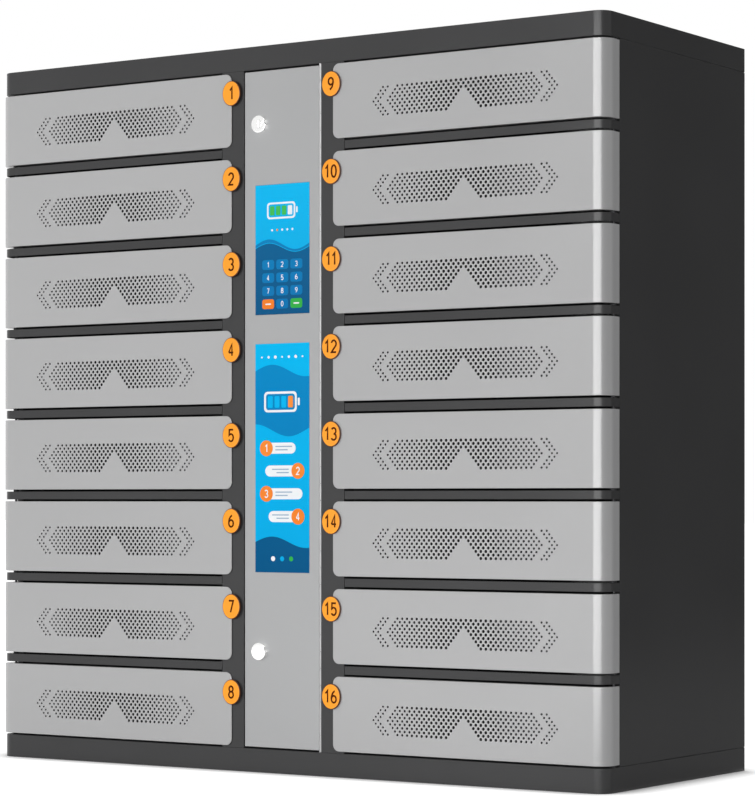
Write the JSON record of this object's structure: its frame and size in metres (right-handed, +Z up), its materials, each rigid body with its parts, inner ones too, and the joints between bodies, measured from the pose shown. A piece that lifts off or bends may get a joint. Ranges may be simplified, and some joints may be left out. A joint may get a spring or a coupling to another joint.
{
  "type": "laptop charging cabinet",
  "caption": "Free-standing steel cabinet that stores and charges laptops in numbered locker bays, two columns of vented hinged doors beside a narrow hinged control door with touch screen.",
  "frame": {"origin": "centre of the body's footprint, on the floor", "axes": "+X to the right along the width as seen from the front, +Y from the doors to the back panel, +Z up"},
  "size_m": [1.072, 0.4239, 1.056],
  "materials": {
    "dark_steel": "fine textured powder coat, satin",
    "grey_door_paint": "fine textured powder coat, satin",
    "control_door_paint": "fine textured powder coat, satin",
    "orange_plastic": "semi-gloss moulded",
    "printed_film": "printed film, satin",
    "screen_glass": "polished cover over a lit display",
    "black_plastic": "fine matt moulded",
    "supply_case": "perforated sheet case, satin",
    "circuit_board": "solder mask, semi-gloss",
    "hinge_steel": "satin",
    "lock_chrome": "satin plated",
    "zinc_plated_steel": "zinc plated"
  },
  "bodies": {
    "cabinet": {"base_plinth": "dark_steel", "top_cover": "dark_steel", "deck_panels": "dark_steel", "back_panel": "dark_steel", "back_panel_screws": "zinc_plated_steel", "side_panel_right": "dark_steel", "side_panel_left": "dark_steel", "post_right": "dark_steel", "post_left": "dark_steel", "dividers": "dark_steel", "inlet_panel": "dark_steel", "shelves_right": "dark_steel", "shelves_left": "dark_steel", "hinge_rods": "zinc_plated_steel", "door_locks": "black_plastic", "charging_ports": "black_plastic", "power_supplies": "supply_case", "controller_board": "circuit_board", "mains_inlet": "black_plastic", "control_hinge_frame_leaf": "hinge_steel"},
    "control_door_leaf": {"control_door": "control_door_paint", "control_hinge_door_leaf": "hinge_steel", "touchscreen_glass": "screen_glass", "touchscreen_module": "black_plastic", "graphic_panel": "printed_film", "lock_housings": "lock_chrome"},
    "upper_lock": {"upper_lock_plug": "lock_chrome"},
    "lower_lock": {"lower_lock_plug": "lock_chrome"},
    "locker_01": {"door_01": "grey_door_paint", "number_disc_01": "orange_plastic"},
    "locker_02": {"door_02": "grey_door_paint", "number_disc_02": "orange_plastic"},
    "locker_03": {"door_03": "grey_door_paint", "number_disc_03": "orange_plastic"},
    "locker_04": {"door_04": "grey_door_paint", "number_disc_04": "orange_plastic"},
    "locker_05": {"door_05": "grey_door_paint", "number_disc_05": "orange_plastic"},
    "locker_06": {"door_06": "grey_door_paint", "number_disc_06": "orange_plastic"},
    "locker_07": {"door_07": "grey_door_paint", "number_disc_07": "orange_plastic"},
    "locker_08": {"door_08": "grey_door_paint", "number_disc_08": "orange_plastic"},
    "locker_09": {"door_09": "grey_door_paint", "number_disc_09": "orange_plastic"},
    "locker_10": {"door_10": "grey_door_paint", "number_disc_10": "orange_plastic"},
    "locker_11": {"door_11": "grey_door_paint", "number_disc_11": "orange_plastic"},
    "locker_12": {"door_12": "grey_door_paint", "number_disc_12": "orange_plastic"},
    "locker_13": {"door_13": "grey_door_paint", "number_disc_13": "orange_plastic"},
    "locker_14": {"door_14": "grey_door_paint", "number_disc_14": "orange_plastic"},
    "locker_15": {"door_15": "grey_door_paint", "number_disc_15": "orange_plastic"},
    "locker_16": {"door_16": "grey_door_paint", "number_disc_16": "orange_plastic"}
  },
  "joints": [
    {"name": "door_01_hinge", "type": "hinge", "parent": "cabinet", "child": "locker_01", "pos_m": [-0.5295, -0.1785, 0.9655], "axis": [0, 0, -1], "range_deg": [0, 110]},
    {"name": "door_02_hinge", "type": "hinge", "parent": "cabinet", "child": "locker_02", "pos_m": [-0.5295, -0.1785, 0.8405], "axis": [0, 0, -1], "range_deg": [0, 110]},
    {"name": "door_03_hinge", "type": "hinge", "parent": "cabinet", "child": "locker_03", "pos_m": [-0.5295, -0.1785, 0.7155], "axis": [0, 0, -1], "range_deg": [0, 110]},
    {"name": "door_04_hinge", "type": "hinge", "parent": "cabinet", "child": "locker_04", "pos_m": [-0.5295, -0.1785, 0.5905], "axis": [0, 0, -1], "range_deg": [0, 110]},
    {"name": "door_05_hinge", "type": "hinge", "parent": "cabinet", "child": "locker_05", "pos_m": [-0.5295, -0.1785, 0.4655], "axis": [0, 0, -1], "range_deg": [0, 110]},
    {"name": "door_06_hinge", "type": "hinge", "parent": "cabinet", "child": "locker_06", "pos_m": [-0.5295, -0.1785, 0.3405], "axis": [0, 0, -1], "range_deg": [0, 110]},
    {"name": "door_07_hinge", "type": "hinge", "parent": "cabinet", "child": "locker_07", "pos_m": [-0.5295, -0.1785, 0.2155], "axis": [0, 0, -1], "range_deg": [0, 110]},
    {"name": "door_08_hinge", "type": "hinge", "parent": "cabinet", "child": "locker_08", "pos_m": [-0.5295, -0.1785, 0.0905], "axis": [0, 0, -1], "range_deg": [0, 110]},
    {"name": "door_09_hinge", "type": "hinge", "parent": "cabinet", "child": "locker_09", "pos_m": [0.5295, -0.1785, 0.9655], "axis": [0, 0, 1], "range_deg": [0, 110]},
    {"name": "door_10_hinge", "type": "hinge", "parent": "cabinet", "child": "locker_10", "pos_m": [0.5295, -0.1785, 0.8405], "axis": [0, 0, 1], "range_deg": [0, 110]},
    {"name": "door_11_hinge", "type": "hinge", "parent": "cabinet", "child": "locker_11", "pos_m": [0.5295, -0.1785, 0.7155], "axis": [0, 0, 1], "range_deg": [0, 110]},
    {"name": "door_12_hinge", "type": "hinge", "parent": "cabinet", "child": "locker_12", "pos_m": [0.5295, -0.1785, 0.5905], "axis": [0, 0, 1], "range_deg": [0, 110]},
    {"name": "door_13_hinge", "type": "hinge", "parent": "cabinet", "child": "locker_13", "pos_m": [0.5295, -0.1785, 0.4655], "axis": [0, 0, 1], "range_deg": [0, 110]},
    {"name": "door_14_hinge", "type": "hinge", "parent": "cabinet", "child": "locker_14", "pos_m": [0.5295, -0.1785, 0.3405], "axis": [0, 0, 1], "range_deg": [0, 110]},
    {"name": "door_15_hinge", "type": "hinge", "parent": "cabinet", "child": "locker_15", "pos_m": [0.5295, -0.1785, 0.2155], "axis": [0, 0, 1], "range_deg": [0, 110]},
    {"name": "door_16_hinge", "type": "hinge", "parent": "cabinet", "child": "locker_16", "pos_m": [0.5295, -0.1785, 0.0905], "axis": [0, 0, 1], "range_deg": [0, 110]},
    {"name": "control_door_hinge", "type": "hinge", "parent": "cabinet", "child": "control_door_leaf", "pos_m": [0.0668, -0.2075, 0.528], "axis": [0, 0, 1], "range_deg": [0, 100]},
    {"name": "upper_lock_turn", "type": "hinge", "parent": "control_door_leaf", "child": "upper_lock", "pos_m": [-0.0397, -0.19, 0.942], "axis": [0, -1, 0], "range_deg": [0, 90]},
    {"name": "lower_lock_turn", "type": "hinge", "parent": "control_door_leaf", "child": "lower_lock", "pos_m": [-0.0397, -0.19, 0.176], "axis": [0, -1, 0], "range_deg": [0, 90]}
  ]
}
